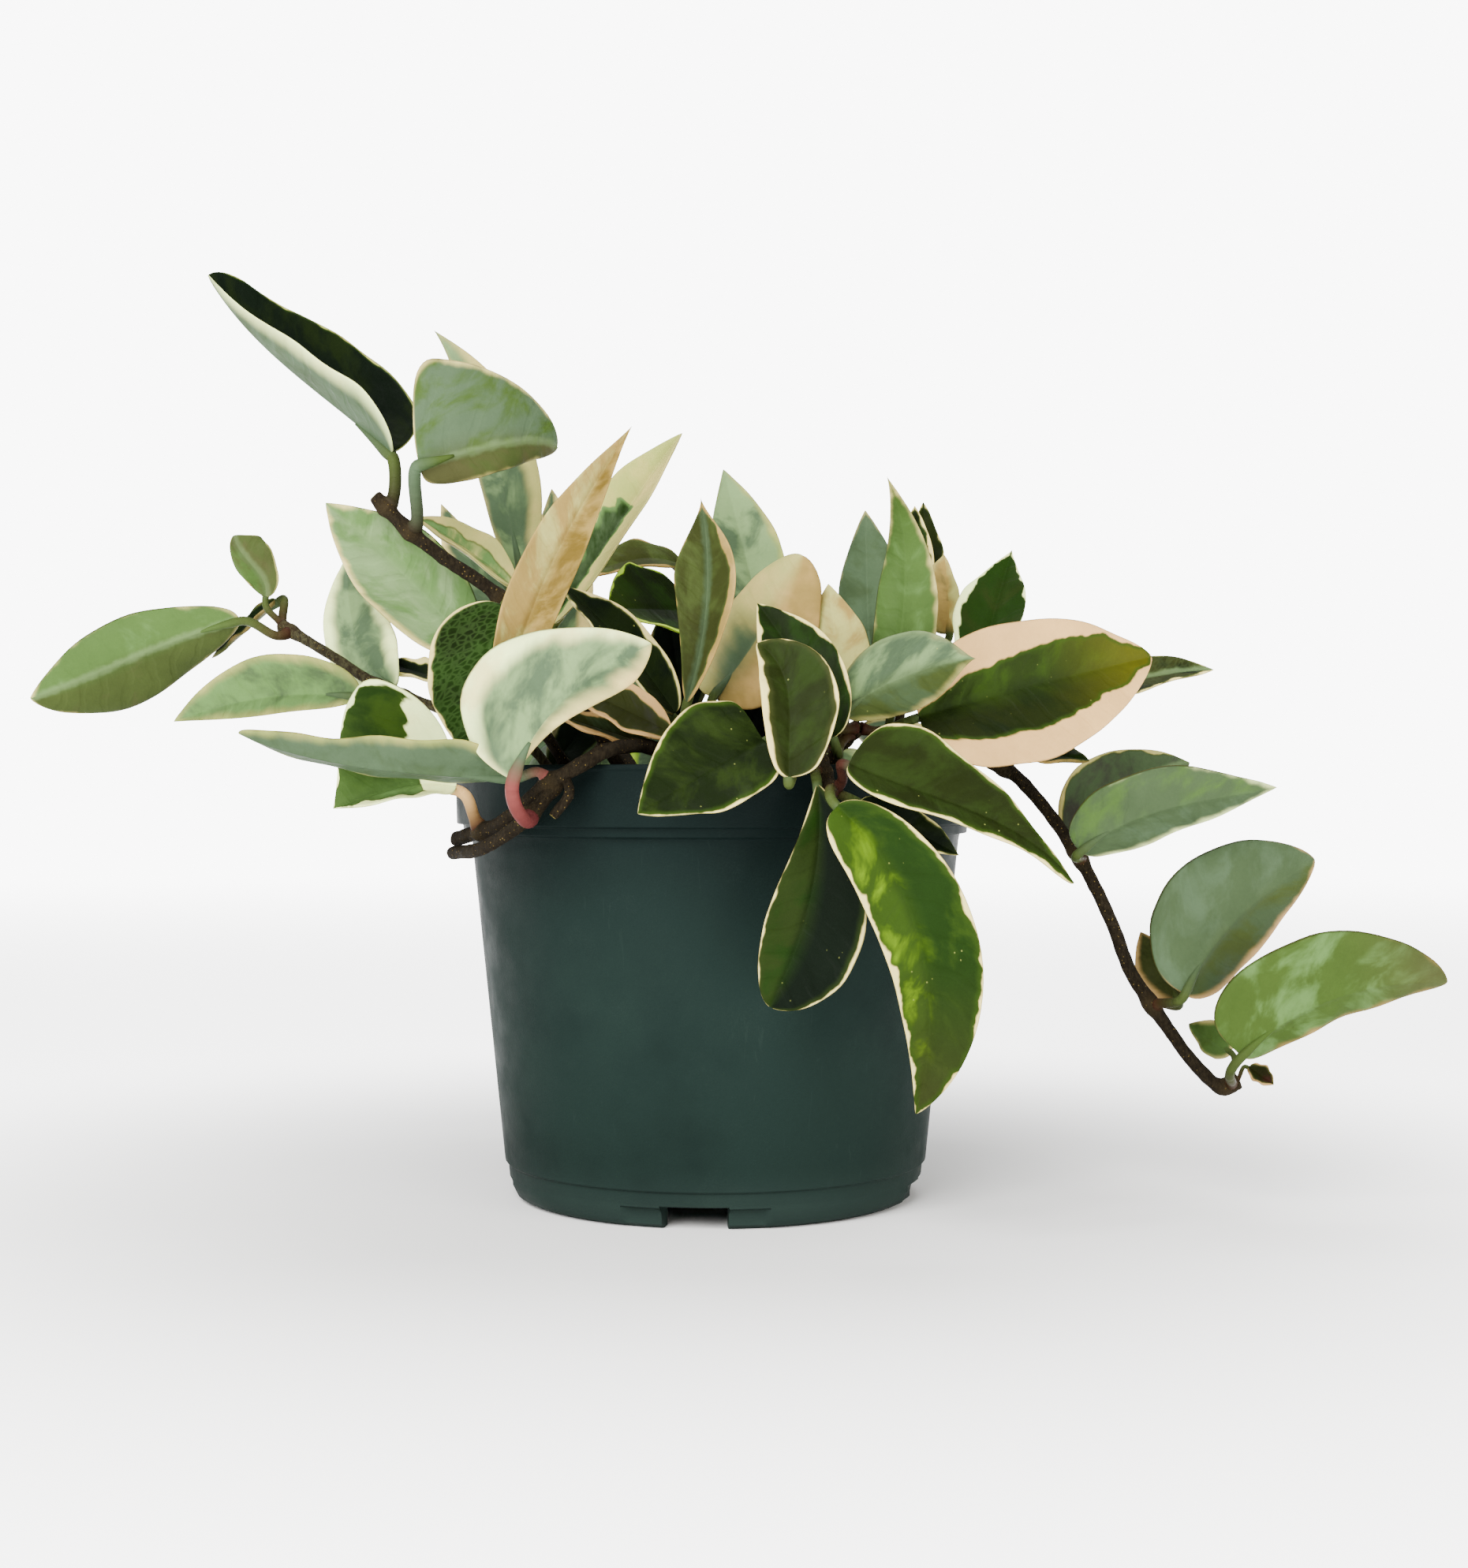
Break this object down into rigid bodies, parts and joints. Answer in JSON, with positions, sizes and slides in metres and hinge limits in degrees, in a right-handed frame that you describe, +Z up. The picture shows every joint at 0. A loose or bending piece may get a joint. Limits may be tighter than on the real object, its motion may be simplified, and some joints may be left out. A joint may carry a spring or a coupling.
{
  "type": "potted hoya plant",
  "caption": "Trailing hoya with thick variegated cream and green leaves, standing in a round dark green nursery pot filled with potting mix.",
  "frame": {"origin": "on the pot's axis, at the bottom of its foot ring", "axes": "+Z up, along the pot's axis; -Y towards the viewer; +X towards the end of the long trailing vine"},
  "size_m": [0.4389, 0.223, 0.2846],
  "materials": {
    "pot": "satin",
    "potting_mix": "rough",
    "stem": "rough",
    "leaf_green": "satin",
    "leaf_pale": "satin",
    "leaf_cream": "satin"
  },
  "bodies": {
    "root": {"pot": "pot", "potting_mix": "potting_mix", "vine_upper_left": "stem", "vine_lower_left": "stem", "stub_front_left": "stem", "vine_right": "stem", "vine_front": "stem", "stem_left": "stem", "stem_centre": "stem", "stem_back_centre": "stem", "stem_right_front": "stem", "stem_right_back": "stem", "stem_back_left": "stem", "stem_back_right": "stem", "leaf_upper_left_1": "leaf_green", "leaf_upper_left_2": "leaf_pale", "leaf_upper_left_3": "leaf_pale", "leaf_upper_left_4": "leaf_cream", "leaf_upper_left_5": "leaf_pale", "leaf_upper_left_6": "leaf_green", "leaf_upper_left_7": "leaf_cream", "leaf_lower_left_1": "leaf_pale", "leaf_lower_left_3": "leaf_pale", "leaf_lower_left_4": "leaf_pale", "leaf_front_left_1": "leaf_pale", "leaf_front_left_2": "leaf_pale", "leaf_front_left_3": "leaf_green", "leaf_left_1": "leaf_cream", "leaf_centre_1": "leaf_green", "leaf_centre_2": "leaf_green", "leaf_centre_3": "leaf_pale", "leaf_back_centre_1": "leaf_green", "leaf_back_centre_2": "leaf_green", "leaf_back_centre_3": "leaf_pale", "leaf_right_front_1": "leaf_green", "leaf_right_front_2": "leaf_pale", "leaf_right_front_3": "leaf_cream", "leaf_right_front_4": "leaf_green", "leaf_front_1": "leaf_green", "leaf_front_2": "leaf_green", "leaf_front_3": "leaf_green", "leaf_front_4": "leaf_green", "leaf_front_5": "leaf_green", "leaf_right_back_1": "leaf_pale", "leaf_right_back_2": "leaf_pale", "leaf_right_back_3": "leaf_cream", "leaf_right_back_4": "leaf_green", "leaf_right_1": "leaf_pale", "leaf_right_3": "leaf_pale", "leaf_right_4": "leaf_green", "leaf_right_5": "leaf_pale", "leaf_right_6": "leaf_pale", "leaf_back_left_1": "leaf_pale", "leaf_back_left_2": "leaf_green", "leaf_back_left_3": "leaf_green", "leaf_back_left_4": "leaf_pale", "leaf_back_right_1": "leaf_green", "leaf_back_right_2": "leaf_pale", "leaf_back_right_3": "leaf_green", "leaf_back_right_4": "leaf_green"}
  },
  "joints": []
}
